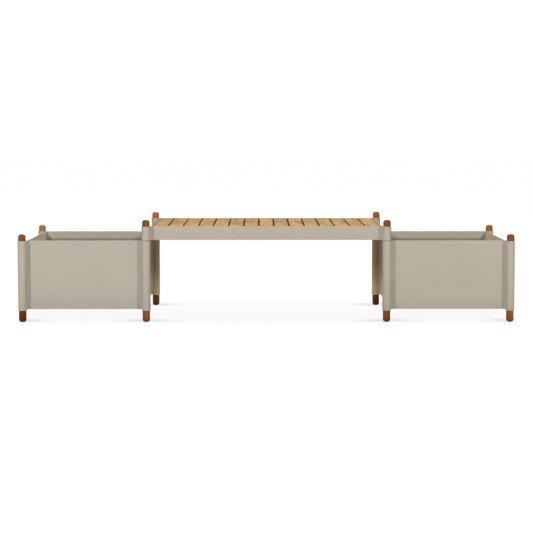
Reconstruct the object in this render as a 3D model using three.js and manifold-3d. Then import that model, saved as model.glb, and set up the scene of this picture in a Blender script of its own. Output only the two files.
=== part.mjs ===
import * as THREE from 'three';
import { mergeVertices } from 'three/addons/utils/BufferGeometryUtils.js';
import Module from 'manifold-3d';

// A slatted bench carried between two square planters on shared round timber posts.
// Lengths are in millimetres, +Z is up, z = 0 is the ground and the front faces -Y.

// Spacing of the post axes
const BENCH_SPACING = 1138;
const PLANTER_SPACING = 585;

// Heights, from the ground up
const FOOT_HEIGHT = 55;
const PLANTER_HEIGHT = 330;
const PANEL_LIFT = 3;
const SPACER_THICKNESS = 1.4;
const SEAT_FRAME_HEIGHT = 66;
const POST_REVEAL = 31;

// Posts and the tubes around them
const POST_DIAMETER = 35;
const POST_END_RADIUS = 12.5;
const TUBE_WALL = 2.6;
const TUBE_CHAMFER = 0.8;
const SPACER_INSET = 1;

// Folded sheets between the tubes
const FACE_SETBACK = 22;
const PANEL_THICKNESS = 3;
const RAIL_THICKNESS = 5;
const FOLD_RADIUS = 2;

// Clearance between neighbouring pieces
const FIT = 0.3;

// Planter floor
const FLOOR_THICKNESS = 2;
const FLOOR_RAISE = 2;
const FLOOR_SKIRT = 18;
const FLOOR_DRAIN_DIAMETER = 24;

// Liner
const LINER_WALL = 2.5;
const LINER_SIDE_GAP = 5;
const LINER_RIM_DROP = 36;
const LINER_RIM_THICKNESS = 4;
const LINER_RIM_GAP = 1;
const LINER_CORNER_RADIUS = 22;
const LINER_DRAIN_DIAMETER = 14;

// Seat
const SLAT_THICKNESS = 20;
const SLAT_GAP = 6;
const SLAT_SIDE_GAP = 5;
const SLAT_END_GAP = 3;
const SLAT_EDGE_RADIUS = 2.5;
const LEDGE_LEG = 28;
const LEDGE_THICKNESS = 4;
const BEARER_WIDTH = 40;
const BEARER_HEIGHT = 25;
const BEARER_WALL = 2.5;

// Counts, and places given as shares of a span
const SLAT_COUNT = 15;
const ROUND_SEGMENTS = 24;
const POST_END_SEGMENTS = 4;
const FILLET_SEGMENTS = 3;
const LINER_CORNER_SEGMENTS = 5;
const DRAIN_SHARES = [-0.27, 0.27];

// Derived sizes
const POST_RADIUS = POST_DIAMETER / 2;
const TUBE_BORE_RADIUS = POST_RADIUS + FIT;
const TUBE_RADIUS = TUBE_BORE_RADIUS + TUBE_WALL;
const PLANTER_TOP = FOOT_HEIGHT + PLANTER_HEIGHT;
const SPACER_BASE = PLANTER_TOP + FIT;
const SEAT_FRAME_BASE = SPACER_BASE + SPACER_THICKNESS + FIT;
const SEAT_TOP = SEAT_FRAME_BASE + SEAT_FRAME_HEIGHT;
const PLANTER_CENTRE = (BENCH_SPACING + PLANTER_SPACING) / 2;
const PLANTER_INSIDE = PLANTER_SPACING - 2 * (FACE_SETBACK + PANEL_THICKNESS);
const SEAT_INSIDE_LENGTH = BENCH_SPACING - 2 * (FACE_SETBACK + RAIL_THICKNESS);
const SEAT_INSIDE_DEPTH = PLANTER_SPACING - 2 * (FACE_SETBACK + RAIL_THICKNESS);
const PANEL_BASE = FOOT_HEIGHT + PANEL_LIFT;
const PANEL_HEIGHT = PLANTER_HEIGHT - PANEL_LIFT;
const FLOOR_TOP = PANEL_BASE + FLOOR_RAISE + FLOOR_SKIRT;
const SLAT_BASE = SEAT_TOP - SLAT_THICKNESS;
const BEARER_TOP = SLAT_BASE - FIT;

const SIDES = { left: -1, right: 1 };
const ROWS = { front: -1, back: 1 };

const wasm = await Module();
wasm.setup();

// Finishes

const oiledPostWood = () =>
  new THREE.MeshStandardMaterial({ color: '#9c5c33', roughness: 0.55, metalness: 0 });

const slatWood = () =>
  new THREE.MeshStandardMaterial({ color: '#c29c6d', roughness: 0.65, metalness: 0 });

const powderCoat = () =>
  new THREE.MeshStandardMaterial({ color: '#bab1a2', roughness: 0.6, metalness: 0.1 });

const supportCoat = () =>
  new THREE.MeshStandardMaterial({ color: '#35302a', roughness: 0.6, metalness: 0.1 });

const linerPlastic = () =>
  new THREE.MeshStandardMaterial({ color: '#7a7267', roughness: 0.7, metalness: 0 });

const spacerNylon = () =>
  new THREE.MeshStandardMaterial({ color: '#2c2b2a', roughness: 0.6, metalness: 0 });

// Solid operations

function toManifold(geometry) {
  const bare = new THREE.BufferGeometry();
  bare.setAttribute('position', geometry.getAttribute('position'));
  bare.setIndex(geometry.getIndex());
  const merged = mergeVertices(bare);
  const mesh = new wasm.Mesh({
    numProp: 3,
    vertProperties: new Float32Array(merged.getAttribute('position').array),
    triVerts: new Uint32Array(merged.getIndex().array),
  });
  return new wasm.Manifold(mesh);
}

function fromManifold(solid) {
  const mesh = solid.getMesh();
  const geometry = new THREE.BufferGeometry();
  geometry.setAttribute('position', new THREE.BufferAttribute(mesh.vertProperties, mesh.numProp));
  geometry.setIndex(new THREE.BufferAttribute(mesh.triVerts, 1));
  return geometry;
}

// Outlines

// A closed outline whose corners, given as [x, y, radius], are rounded by their radii.
function filletedShape(corners) {
  const shape = new THREE.Shape();
  const count = corners.length;
  corners.forEach(([x, y, radius], i) => {
    const corner = new THREE.Vector2(x, y);
    const before = new THREE.Vector2(...corners[(i + count - 1) % count]).sub(corner).normalize();
    const after = new THREE.Vector2(...corners[(i + 1) % count]).sub(corner).normalize();
    const cutback = radius / Math.tan(Math.acos(before.dot(after)) / 2);
    const start = corner.clone().addScaledVector(before, cutback);
    const end = corner.clone().addScaledVector(after, cutback);
    if (i === 0) shape.moveTo(start.x, start.y);
    else shape.lineTo(start.x, start.y);
    if (radius > 0) shape.quadraticCurveTo(x, y, end.x, end.y);
  });
  shape.closePath();
  return shape;
}

function rectangle(width, height, radius) {
  const x = width / 2;
  const y = height / 2;
  return filletedShape([[-x, -y, radius], [x, -y, radius], [x, y, radius], [-x, y, radius]]);
}

function extrude(shape, depth, curveSegments) {
  return new THREE.ExtrudeGeometry(shape, { depth, curveSegments, bevelEnabled: false });
}

// Turns an extrusion along +Z into a bar along X, its outline read in Y and Z.
function alongX(geometry, length) {
  return geometry.translate(0, 0, -length / 2).rotateX(Math.PI / 2).rotateZ(Math.PI / 2);
}

// Turns an extrusion along +Z into a bar along Y, its outline read in X and Z.
function alongY(geometry, length) {
  return geometry.translate(0, 0, -length / 2).rotateX(Math.PI / 2);
}

// Sub-parts

function postGeometry(height) {
  const shoulder = POST_RADIUS - POST_END_RADIUS;
  const foot = [];
  const head = [];
  for (let i = 0; i <= POST_END_SEGMENTS; i += 1) {
    const angle = (Math.PI / 2) * (i / POST_END_SEGMENTS);
    const out = shoulder + POST_END_RADIUS * Math.sin(angle);
    const rise = POST_END_RADIUS * (1 - Math.cos(angle));
    foot.push(new THREE.Vector2(out, rise));
    head.unshift(new THREE.Vector2(out, height - rise));
  }
  const profile = [new THREE.Vector2(0, 0), ...foot, ...head, new THREE.Vector2(0, height)];
  return new THREE.LatheGeometry(profile, ROUND_SEGMENTS).rotateX(Math.PI / 2);
}

function ringGeometry(inner, outer, height, chamfer) {
  const profile = [
    [inner, 0],
    [outer - chamfer, 0],
    [outer, chamfer],
    [outer, height - chamfer],
    [outer - chamfer, height],
    [inner, height],
    [inner, 0],
  ].map(([x, y]) => new THREE.Vector2(x, y));
  return new THREE.LatheGeometry(profile, ROUND_SEGMENTS).rotateX(Math.PI / 2);
}

function tubeGeometry(height) {
  return ringGeometry(TUBE_BORE_RADIUS, TUBE_RADIUS, height, TUBE_CHAMFER);
}

function spacerGeometry() {
  const profile = [
    [TUBE_BORE_RADIUS, 0],
    [TUBE_RADIUS - SPACER_INSET, 0],
    [TUBE_RADIUS - SPACER_INSET, SPACER_THICKNESS],
    [TUBE_BORE_RADIUS, SPACER_THICKNESS],
    [TUBE_BORE_RADIUS, 0],
  ].map(([x, y]) => new THREE.Vector2(x, y));
  return new THREE.LatheGeometry(profile, ROUND_SEGMENTS).rotateX(Math.PI / 2);
}

// A sheet standing between two tubes, both ends folded out along the diagonal to meet them.
// It is drawn with the tube axes on the X axis and its outer face towards -Y.
function foldedSheetGeometry(span, thickness, height) {
  const along = Math.SQRT1_2;
  const reach = (TUBE_RADIUS + FIT) * along;
  const nearSide = (FIT / 2) * along;
  const farSide = nearSide + thickness * along;
  const inner = FACE_SETBACK + thickness;
  const end = [
    [inner + 2 * nearSide, inner, FOLD_RADIUS + thickness],
    [reach + nearSide, reach - nearSide, 0],
    [reach + farSide, reach - farSide, 0],
    [FACE_SETBACK + 2 * farSide, FACE_SETBACK, FOLD_RADIUS],
  ];
  const left = end.map(([x, y, radius]) => [x - span / 2, y, radius]);
  const right = left.map(([x, y, radius]) => [-x, y, radius]).reverse();
  return extrude(filletedShape([...left, ...right]), height, FILLET_SEGMENTS);
}

// The floor is a shallow pan turned upside down, its skirt against the sheets.
function floorGeometry() {
  const width = PLANTER_INSIDE - 2 * FIT;
  const hollow = width - 2 * FLOOR_THICKNESS;
  const pan = new THREE.BoxGeometry(width, width, FLOOR_SKIRT);
  const inside = new THREE.BoxGeometry(hollow, hollow, FLOOR_SKIRT);
  pan.translate(0, 0, -FLOOR_SKIRT / 2);
  inside.translate(0, 0, -FLOOR_SKIRT / 2 - FLOOR_THICKNESS);
  const solid = toManifold(pan).subtract(toManifold(inside));
  return fromManifold(drain(solid, FLOOR_DRAIN_DIAMETER, FLOOR_SKIRT)).translate(0, 0, FLOOR_TOP);
}

// Cuts a square pattern of round drain holes through the sheet at z = 0.
function drain(solid, diameter, depth) {
  let cut = solid;
  for (const shareX of DRAIN_SHARES) {
    for (const shareY of DRAIN_SHARES) {
      const hole = new THREE.CylinderGeometry(diameter / 2, diameter / 2, depth, ROUND_SEGMENTS);
      hole.rotateX(Math.PI / 2);
      hole.translate(shareX * PLANTER_INSIDE, shareY * PLANTER_INSIDE, 0);
      cut = cut.subtract(toManifold(hole));
    }
  }
  return cut;
}

function linerGeometry() {
  const base = FLOOR_TOP + FIT;
  const height = PLANTER_TOP - LINER_RIM_DROP - base;
  const width = PLANTER_INSIDE - 2 * LINER_SIDE_GAP;
  const hollow = width - 2 * LINER_WALL;
  const rimWidth = PLANTER_INSIDE - 2 * LINER_RIM_GAP;
  const rimRadius = LINER_CORNER_RADIUS + LINER_SIDE_GAP - LINER_RIM_GAP;
  const block = (size, radius, depth) =>
    extrude(rectangle(size, size, radius), depth, LINER_CORNER_SEGMENTS);
  const body = block(width, LINER_CORNER_RADIUS, height);
  const rim = block(rimWidth, rimRadius, LINER_RIM_THICKNESS);
  const inside = block(hollow, LINER_CORNER_RADIUS - LINER_WALL, height);
  rim.translate(0, 0, height - LINER_RIM_THICKNESS);
  inside.translate(0, 0, LINER_WALL);
  const solid = toManifold(body).add(toManifold(rim)).subtract(toManifold(inside));
  const drained = drain(solid, LINER_DRAIN_DIAMETER, 2 * LINER_WALL + 2 * FIT);
  return fromManifold(drained).translate(0, 0, base);
}

function slatGeometry(width) {
  const length = SEAT_INSIDE_DEPTH - 2 * SLAT_END_GAP;
  const outline = rectangle(width, SLAT_THICKNESS, SLAT_EDGE_RADIUS);
  const bar = alongY(extrude(outline, length, FILLET_SEGMENTS), length);
  return bar.translate(0, 0, SLAT_BASE + SLAT_THICKNESS / 2);
}

// An angle along the inside of a long rail: one leg on the rail, one under the slats.
function ledgeGeometry(row) {
  const length = SEAT_INSIDE_LENGTH - 2 * FIT;
  const outline = filletedShape([
    [0, 0, 0],
    [0, -LEDGE_LEG, 0],
    [LEDGE_THICKNESS, -LEDGE_LEG, 0],
    [LEDGE_THICKNESS, -LEDGE_THICKNESS, 0],
    [LEDGE_LEG, -LEDGE_THICKNESS, 0],
    [LEDGE_LEG, 0, 0],
  ]);
  const bar = alongX(extrude(outline, length, FILLET_SEGMENTS), length);
  bar.translate(0, FIT - SEAT_INSIDE_DEPTH / 2, BEARER_TOP);
  return row === ROWS.front ? bar : bar.rotateZ(Math.PI);
}

function bearerGeometry() {
  const length = SEAT_INSIDE_LENGTH - 2 * FIT;
  const outline = rectangle(BEARER_WIDTH, BEARER_HEIGHT, 0);
  outline.holes.push(rectangle(BEARER_WIDTH - 2 * BEARER_WALL, BEARER_HEIGHT - 2 * BEARER_WALL, 0));
  const bar = alongX(extrude(outline, length, FILLET_SEGMENTS), length);
  return bar.translate(0, 0, BEARER_TOP - BEARER_HEIGHT / 2);
}

// Assembly

const group = new THREE.Group();
group.name = 'bench_with_planters';

function place(name, geometry, material, x = 0, y = 0, z = 0) {
  const mesh = new THREE.Mesh(geometry, material);
  mesh.name = name;
  mesh.position.set(x, y, z);
  group.add(mesh);
  return mesh;
}

// The four sheets around a rectangle of tubes, each with its folds at the corners.
function placeSheets(names, width, depth, thickness, height, x, z) {
  const long = (span) => foldedSheetGeometry(span, thickness, height);
  place(names.front, long(width), powderCoat(), x, -depth / 2, z);
  place(names.back, long(width).rotateZ(Math.PI), powderCoat(), x, depth / 2, z);
  place(names.left, long(depth).rotateZ(-Math.PI / 2), powderCoat(), x - width / 2, 0, z);
  place(names.right, long(depth).rotateZ(Math.PI / 2), powderCoat(), x + width / 2, 0, z);
}

function placeCorner(name, x, y, carriesSeat) {
  const seatPart = carriesSeat ? SEAT_TOP - PLANTER_TOP : 0;
  place(`post_${name}`, postGeometry(PLANTER_TOP + seatPart + POST_REVEAL), oiledPostWood(), x, y);
  place(`planter_tube_${name}`, tubeGeometry(PLANTER_HEIGHT), powderCoat(), x, y, FOOT_HEIGHT);
  if (!carriesSeat) return;
  place(`spacer_${name}`, spacerGeometry(), spacerNylon(), x, y, SPACER_BASE);
  place(`seat_tube_${name}`, tubeGeometry(SEAT_FRAME_HEIGHT), powderCoat(), x, y, SEAT_FRAME_BASE);
}

function placePlanter(side, sign) {
  const x = sign * PLANTER_CENTRE;
  for (const [row, rowSign] of Object.entries(ROWS)) {
    const y = (rowSign * PLANTER_SPACING) / 2;
    placeCorner(`${side}_outer_${row}`, x + (sign * PLANTER_SPACING) / 2, y, false);
    placeCorner(`${side}_inner_${row}`, x - (sign * PLANTER_SPACING) / 2, y, true);
  }
  const names = {
    front: `planter_panel_${side}_front`,
    back: `planter_panel_${side}_back`,
    left: `planter_panel_${side}_${sign < 0 ? 'outer' : 'inner'}`,
    right: `planter_panel_${side}_${sign < 0 ? 'inner' : 'outer'}`,
  };
  const width = PLANTER_SPACING;
  placeSheets(names, width, width, PANEL_THICKNESS, PANEL_HEIGHT, x, PANEL_BASE);
  place(`planter_floor_${side}`, floorGeometry(), powderCoat(), x);
  place(`planter_liner_${side}`, linerGeometry(), linerPlastic(), x);
}

function placeSlats() {
  const field = SEAT_INSIDE_LENGTH - 2 * SLAT_SIDE_GAP;
  const pitch = (field + SLAT_GAP) / SLAT_COUNT;
  const start = (pitch - SLAT_GAP - field) / 2;
  for (let i = 0; i < SLAT_COUNT; i += 1) {
    const name = `seat_slat_${String(i + 1).padStart(2, '0')}`;
    place(name, slatGeometry(pitch - SLAT_GAP), slatWood(), start + i * pitch);
  }
}

function placeSeat() {
  const names = {
    front: 'seat_rail_front',
    back: 'seat_rail_back',
    left: 'seat_rail_left',
    right: 'seat_rail_right',
  };
  const width = BENCH_SPACING;
  placeSheets(names, width, PLANTER_SPACING, RAIL_THICKNESS, SEAT_FRAME_HEIGHT, 0, SEAT_FRAME_BASE);
  place('seat_ledge_front', ledgeGeometry(ROWS.front), supportCoat());
  place('seat_ledge_back', ledgeGeometry(ROWS.back), supportCoat());
  place('seat_bearer', bearerGeometry(), supportCoat());
  placeSlats();
}

for (const [side, sign] of Object.entries(SIDES)) placePlanter(side, sign);
placeSeat();

export default group;
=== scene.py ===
"""Visual model of a slatted bench carried between two square planters.

Each piece is rebuilt with its real edges, folds and finish where its CAD solid stands.
Lengths are in metres in the part's own frame: +X runs along the bench, the front faces
-Y, +Z is up and z = 0 is the ground.
"""

import logging
import math
from collections.abc import Callable, Iterator, Sequence
from dataclasses import dataclass
from enum import Enum
from typing import ClassVar

import bmesh
import bpy
from mathutils import Matrix, Vector


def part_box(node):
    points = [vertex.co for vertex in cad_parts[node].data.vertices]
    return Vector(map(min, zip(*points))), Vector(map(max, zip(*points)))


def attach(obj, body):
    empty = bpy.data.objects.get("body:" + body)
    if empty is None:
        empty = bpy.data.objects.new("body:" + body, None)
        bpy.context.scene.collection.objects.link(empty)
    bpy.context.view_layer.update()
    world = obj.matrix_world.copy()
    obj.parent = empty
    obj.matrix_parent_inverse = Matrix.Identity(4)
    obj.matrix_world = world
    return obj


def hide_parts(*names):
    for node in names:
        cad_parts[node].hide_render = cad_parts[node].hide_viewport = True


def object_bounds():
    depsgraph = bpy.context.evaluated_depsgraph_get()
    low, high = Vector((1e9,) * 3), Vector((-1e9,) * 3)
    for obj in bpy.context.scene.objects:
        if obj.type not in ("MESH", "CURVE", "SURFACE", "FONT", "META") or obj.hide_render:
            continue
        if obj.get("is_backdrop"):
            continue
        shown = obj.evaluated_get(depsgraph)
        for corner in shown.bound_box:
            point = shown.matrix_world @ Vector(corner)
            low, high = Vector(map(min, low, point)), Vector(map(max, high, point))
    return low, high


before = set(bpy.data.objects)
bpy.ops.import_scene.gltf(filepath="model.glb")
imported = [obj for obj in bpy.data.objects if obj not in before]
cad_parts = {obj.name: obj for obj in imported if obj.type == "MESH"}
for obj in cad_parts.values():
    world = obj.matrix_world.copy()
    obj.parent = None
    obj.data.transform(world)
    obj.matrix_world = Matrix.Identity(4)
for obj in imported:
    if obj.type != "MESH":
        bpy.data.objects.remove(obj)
CAD_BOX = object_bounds()
LOG = logging.getLogger("bench_with_planters")

Colour = tuple[float, float, float]
Point = tuple[float, float, float]
Span = tuple[float, float]
Dress = tuple[bpy.types.Material, str]

MM = 0.001
QUARTER = math.pi / 2
DIAGONAL = math.sqrt(0.5)
FACING = 0.9
SQUARE_ON = 0.99
EASE_OVER_DEGREES = 50
SHARP_DEGREES = 60
SMOOTH_UNDER_DEGREES = 32
BIT_SIDES = 32
SEED_STEP = 0.618
LENGTH_DIGITS = 5
SEED_ATTRIBUTE = "piece_seed"
# How light each end of a piece is: the timber's own colour, and on the posts partly painted light and shade
LIGHTNESS_ATTRIBUTE = "piece_lightness"
CENTRE_ATTRIBUTE = "piece_centre"
SIDE_ATTRIBUTE = "sheet_side"

# How light each post's top and foot are: partly the timber's own colour, partly painted light and shade, with
# the back posts' tops painted lighter and feet that stand in shade painted darker
POST_TONE_AND_PAINTED_LIGHT = {
    "left_outer_front": (0.86, 0.56),
    "left_inner_front": (0.87, 1.02),
    "right_inner_front": (0.78, 0.84),
    "right_outer_front": (0.83, 1.27),
    "left_outer_back": (1.78, 1.00),
    "left_inner_back": (2.20, 0.82),
    "right_inner_back": (1.48, 0.55),
    "right_outer_back": (1.38, 1.00),
}


# Shaping


class Element(Enum):
    """What an edit-mode selection is made of."""

    EDGE = "EDGE"
    FACE = "FACE"


class GrainAxis(Enum):
    """The axis that a timber piece's grain follows."""

    Y = "Y"
    Z = "Z"


def put_tools_down() -> None:
    """Leaves edit mode and deselects every object."""
    active = bpy.context.object
    if active is not None and active.mode != "OBJECT":
        bpy.ops.object.mode_set(mode="OBJECT")
    bpy.ops.object.select_all(action="DESELECT")


def take_up(body: bpy.types.Object) -> None:
    """Makes one object the only selected and active one.

    Args:
        body: The object to work on.
    """
    put_tools_down()
    body.select_set(True)
    bpy.context.view_layer.objects.active = body


class Workpiece:
    """A mesh object while it is shaped, with its place in its mesh."""

    def __init__(self, name: str) -> None:
        """Takes over the primitive that was just added and settles it at the origin.

        Args:
            name: The piece's name.
        """
        self.body: bpy.types.Object = bpy.context.object
        self.body.name = name
        self.body.data.name = name
        self.settle()

    @classmethod
    def block(cls, name: str, low: Sequence[float], high: Sequence[float]) -> "Workpiece":
        """Starts from a cube stretched between two corners.

        Args:
            name: The piece's name.
            low: Its lowest corner.
            high: Its highest corner.

        Returns:
            The new workpiece.
        """
        put_tools_down()
        corner, far = Vector(low), Vector(high)
        bpy.ops.mesh.primitive_cube_add(size=1, location=(corner + far) / 2, scale=far - corner)
        return cls(name)

    @classmethod
    def rod(
        cls, name: str, foot: Sequence[float], radius: float, height: float, sides: int = 64,
        capped: bool = True,
    ) -> "Workpiece":
        """Starts from an upright cylinder.

        Args:
            name: The piece's name.
            foot: The middle of its lower end.
            radius: Its radius.
            height: Its height.
            sides: How many sides it has.
            capped: Whether its ends are closed.

        Returns:
            The new workpiece.
        """
        put_tools_down()
        middle = Vector(foot) + Vector((0, 0, height / 2))
        fill = "NGON" if capped else "NOTHING"
        bpy.ops.mesh.primitive_cylinder_add(
            vertices=sides, radius=radius, depth=height, end_fill_type=fill, location=middle
        )
        return cls(name)

    @classmethod
    def upright_sheet(cls, name: str, foot: Sequence[float], width: float, height: float) -> "Workpiece":
        """Starts from a flat plane that stands up and faces -Y.

        Args:
            name: The piece's name.
            foot: The middle of its lower edge.
            width: Its width along X.
            height: Its height.

        Returns:
            The new workpiece.
        """
        put_tools_down()
        middle = Vector(foot) + Vector((0, 0, height / 2))
        bpy.ops.mesh.primitive_plane_add(size=1, location=middle, rotation=(QUARTER, 0, 0))
        bpy.context.object.scale = (width, height, 1)
        return cls(name)

    def settle(self) -> None:
        """Puts the object's place, turn and size into its mesh."""
        take_up(self.body)
        bpy.ops.object.transform_apply(location=True, rotation=True, scale=True)

    def pick(self, kind: Element, test: Callable[[Vector, Vector], bool]) -> None:
        """Selects edges or faces in edit mode.

        Args:
            kind: Edges or faces.
            test: Given an element's middle and its direction (an edge's run from end to
                end, a face's normal), says whether to select it.
        """
        if self.body.mode != "EDIT":
            take_up(self.body)
            bpy.ops.object.mode_set(mode="EDIT")
        bpy.ops.mesh.select_mode(type=kind.value)
        bpy.ops.mesh.select_all(action="DESELECT")
        work = bmesh.from_edit_mesh(self.body.data)
        if kind is Element.EDGE:
            for edge in work.edges:
                start, end = (vert.co for vert in edge.verts)
                if test((start + end) / 2, end - start):
                    edge.select_set(True)
        else:
            for face in work.faces:
                if test(face.calc_center_median(), face.normal):
                    face.select_set(True)
        bmesh.update_edit_mesh(self.body.data)

    def extrude(self, move: Sequence[float]) -> None:
        """Extrudes what is selected and moves the new elements."""
        bpy.ops.mesh.extrude_region_move(TRANSFORM_OT_translate={"value": tuple(move)})

    def inset(self, thickness: float) -> None:
        """Insets the selected faces by a thickness."""
        bpy.ops.mesh.inset(thickness=thickness, use_even_offset=True)

    def bevel(self, width: float, segments: int) -> None:
        """Rounds the selected edges, as wide and with as many strips as given."""
        bpy.ops.mesh.bevel(offset=width, segments=segments, profile=0.5, affect="EDGES")

    def resize(self, factor: Sequence[float], centre: Sequence[float]) -> None:
        """Scales what is selected along each axis about a point."""
        bpy.ops.transform.resize(value=tuple(factor), center_override=tuple(centre))

    def delete_picked_faces(self) -> None:
        """Deletes the selected faces, leaving their edges where others use them."""
        bpy.ops.mesh.delete(type="FACE")

    def modify(self, kind: str, **settings: object) -> None:
        """Adds a modifier and applies it.

        Args:
            kind: The modifier's type.
            **settings: Its properties.
        """
        take_up(self.body)
        bpy.ops.object.modifier_add(type=kind)
        modifier = self.body.modifiers[-1]
        for key, value in settings.items():
            setattr(modifier, key, value)
        bpy.ops.object.modifier_apply(modifier=modifier.name)

    def thicken(self, thickness: float, offset: float) -> None:
        """Gives a surface its wall, behind it for an offset of -1, on both sides of it for 0."""
        self.modify("SOLIDIFY", thickness=thickness, offset=offset, use_even_offset=True)

    def ease_edges(self, width: float, segments: int = 2, over: float = EASE_OVER_DEGREES) -> None:
        """Rounds every edge that turns more sharply than an angle.

        Args:
            width: The rounding's width.
            segments: How many strips it has.
            over: The angle in degrees.
        """
        self.modify(
            "BEVEL", width=width, segments=segments, limit_method="ANGLE",
            angle_limit=math.radians(over), harden_normals=False,
        )

    def drill(self, places: Sequence[Sequence[float]], radius: float, depth: float) -> None:
        """Bores upright round holes through the piece.

        Args:
            places: The middle of each hole's lower end.
            radius: The holes' radius.
            depth: How long the drill is.
        """
        for place in places:
            bit = Workpiece.rod("drill_bit", place, radius, depth, BIT_SIDES)
            self.modify("BOOLEAN", operation="DIFFERENCE", object=bit.body, solver="EXACT")
            bpy.data.objects.remove(bit.body)

    def finish(self) -> bpy.types.Object:
        """Smooths the shading over gentle edges.

        Returns:
            The finished object.
        """
        take_up(self.body)
        bpy.ops.object.shade_smooth_by_angle(angle=math.radians(SMOOTH_UNDER_DEGREES))
        return self.body


def copy_piece(source: bpy.types.Object, name: str, placing: Matrix) -> bpy.types.Object:
    """Copies a finished piece with its own mesh.

    Args:
        source: The piece to copy.
        name: The copy's name.
        placing: How the copy is turned and moved from where the source is.

    Returns:
        The copy, with its place in its mesh.
    """
    twin = source.copy()
    twin.data = source.data.copy()
    twin.name = twin.data.name = name
    bpy.context.scene.collection.objects.link(twin)
    twin.data.transform(placing)
    twin.data.update()
    return twin


def join_pieces(pieces: Sequence[bpy.types.Object], name: str) -> bpy.types.Object:
    """Joins several objects into one.

    Args:
        pieces: The objects to join.
        name: The joined object's name.

    Returns:
        The joined object.
    """
    take_up(pieces[0])
    for piece in pieces:
        piece.select_set(True)
    bpy.ops.object.join()
    pieces[0].name = pieces[0].data.name = name
    return pieces[0]


def mark(piece: bpy.types.Object, seed: float, top_lightness: float, foot_lightness: float) -> None:
    """Stores what sets one piece of timber apart from the next on its mesh, and how light its ends are, which
    on the posts is partly painted light and shade.

    Args:
        piece: The piece.
        seed: Which stretch of timber it was cut from.
        top_lightness: How light its upper end is, 1 being the finish's own colour.
        foot_lightness: How light its lower end is.
    """
    mesh = piece.data
    count = len(mesh.vertices)
    low, high = (Vector(f(v.co[i] for v in mesh.vertices) for i in range(3)) for f in (min, max))
    centre = (low + high) / 2
    mesh.attributes.new(SEED_ATTRIBUTE, "FLOAT", "POINT").data.foreach_set("value", [seed] * count)
    end_lightness = [top_lightness if vert.co.z > centre.z else foot_lightness for vert in mesh.vertices]
    mesh.attributes.new(LIGHTNESS_ATTRIBUTE, "FLOAT", "POINT").data.foreach_set("value", end_lightness)
    middle = mesh.attributes.new(CENTRE_ATTRIBUTE, "FLOAT_VECTOR", "POINT")
    middle.data.foreach_set("vector", list(centre) * count)


def mark_sides(piece: bpy.types.Object, sides: Sequence[Point]) -> None:
    """Stores how far each point looks in under the seat, into a planter and out of it."""
    marks = [part for shares in sides for part in shares]
    piece.data.attributes.new(SIDE_ATTRIBUTE, "FLOAT_VECTOR", "POINT").data.foreach_set("vector", marks)


# Shared effects


class Wiring:
    """Adds and joins the nodes of one node tree."""

    def __init__(self, tree: bpy.types.NodeTree) -> None:
        """Starts on a node tree."""
        self.tree = tree

    def feed(self, node: bpy.types.Node, inputs: dict) -> None:
        """Gives a node its inputs.

        Args:
            node: The node.
            inputs: A value, or an output to join, for each named or numbered input.
        """
        for key, value in inputs.items():
            if isinstance(value, bpy.types.NodeSocket):
                self.tree.links.new(value, node.inputs[key])
            else:
                node.inputs[key].default_value = value

    def add(self, kind: str, inputs: dict | None = None, **settings: object) -> bpy.types.Node:
        """Adds a node.

        Args:
            kind: The node's type, without its ShaderNode prefix.
            inputs: What feeds it.
            **settings: The node's own properties.

        Returns:
            The new node.
        """
        node = self.tree.nodes.new("ShaderNode" + kind)
        for key, value in settings.items():
            setattr(node, key, value)
        self.feed(node, inputs or {})
        return node

    def sum(self, operation: str, *values: object) -> bpy.types.NodeSocket:
        """Adds a Math node and gives its result."""
        return self.add("Math", dict(enumerate(values)), operation=operation).outputs[0]

    def vector(self, operation: str, *values: object) -> bpy.types.NodeSocket:
        """Adds a Vector Math node and gives its result, which is a number for a length."""
        node = self.add("VectorMath", dict(enumerate(values)), operation=operation)
        return node.outputs["Value" if operation == "LENGTH" else "Vector"]

    def split(self, arrow: bpy.types.NodeSocket) -> Sequence[bpy.types.NodeSocket]:
        """Takes a vector apart into its three coordinates."""
        return self.add("SeparateXYZ", {0: arrow}).outputs

    def length_in(self, arrow: bpy.types.NodeSocket, reach: Point) -> bpy.types.NodeSocket:
        """Measures an arrow in parts of a reach that differs along X, Y and Z."""
        return self.vector("LENGTH", self.vector("DIVIDE", arrow, reach))

    def noise(self, place: bpy.types.NodeSocket, scale: Point, detail: float) -> bpy.types.NodeSocket:
        """Adds a noise with so many features in a metre along each axis, and finer layers."""
        inputs = {"Vector": self.vector("MULTIPLY", place, scale), "Scale": 1.0, "Detail": detail}
        return self.add("TexNoise", inputs).outputs[0]

    def span(
        self, value: bpy.types.NodeSocket, low: float, high: float, out: Span = (0, 1)
    ) -> bpy.types.NodeSocket:
        """Maps what lies between two values smoothly onto two results, and clamps the rest."""
        inputs = {0: value, 1: low, 2: high, 3: out[0], 4: out[1]}
        return self.add("MapRange", inputs, interpolation_type="SMOOTHSTEP").outputs[0]

    def tint(self, share: object, first: object, second: object, blend: str = "MIX") -> bpy.types.NodeSocket:
        """Mixes a share of a second colour into a first."""
        inputs = {0: share, 6: opaque(first), 7: opaque(second)}
        return self.add("Mix", inputs, data_type="RGBA", blend_type=blend).outputs[2]

    def cover(self, colour: object, over: Colour, mask: object, share: float) -> bpy.types.NodeSocket:
        """Mixes a second colour in where a mask is set, at most by a share."""
        return self.tint(self.sum("MULTIPLY", mask, share), colour, over)


def opaque(colour: object) -> object:
    """Adds full alpha to a plain colour, and passes a socket through."""
    return (*colour, 1.0) if isinstance(colour, tuple) else colour


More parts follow.
